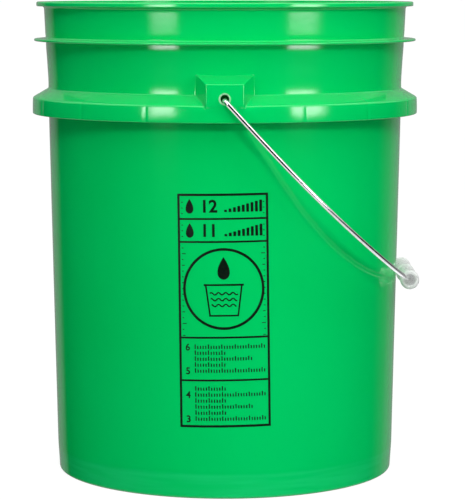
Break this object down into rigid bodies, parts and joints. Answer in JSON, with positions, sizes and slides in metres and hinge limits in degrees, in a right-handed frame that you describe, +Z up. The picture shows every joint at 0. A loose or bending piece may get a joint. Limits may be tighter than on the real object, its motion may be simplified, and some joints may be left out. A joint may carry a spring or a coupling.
{
  "type": "wash bucket",
  "caption": "Open round plastic wash pail with a stacking fin, a ribbed collar, hollow ears and a swinging wire bail that carries a free-turning roller grip.",
  "frame": {"origin": "centre of the foot ring's underside, on the pail's axis", "axes": "+Z up along the pail's axis; the bail's hinge line is parallel to Y, through the two ears; at rest the bail hangs towards +X"},
  "size_m": [0.3078, 0.3256, 0.371],
  "materials": {
    "pail_plastic": "moulded green high-density polyethylene, satin gloss",
    "bail_steel": "bright zinc-plated drawn steel wire",
    "grip_plastic": "natural translucent polyethylene"
  },
  "bodies": {
    "pail_body": {"pail": "pail_plastic"},
    "bail": {"bail_wire": "bail_steel"},
    "roller": {"grip": "grip_plastic"}
  },
  "joints": [
    {"name": "bail_swing", "type": "hinge", "parent": "pail_body", "child": "bail", "pos_m": [0, 0, 0.299], "axis": [0, -1, 0], "range_deg": [0, 270]},
    {"name": "grip_spin", "type": "hinge", "parent": "bail", "child": "roller", "pos_m": [0.1453, 0, 0.15269], "axis": [0, 1, 0], "continuous": true}
  ]
}
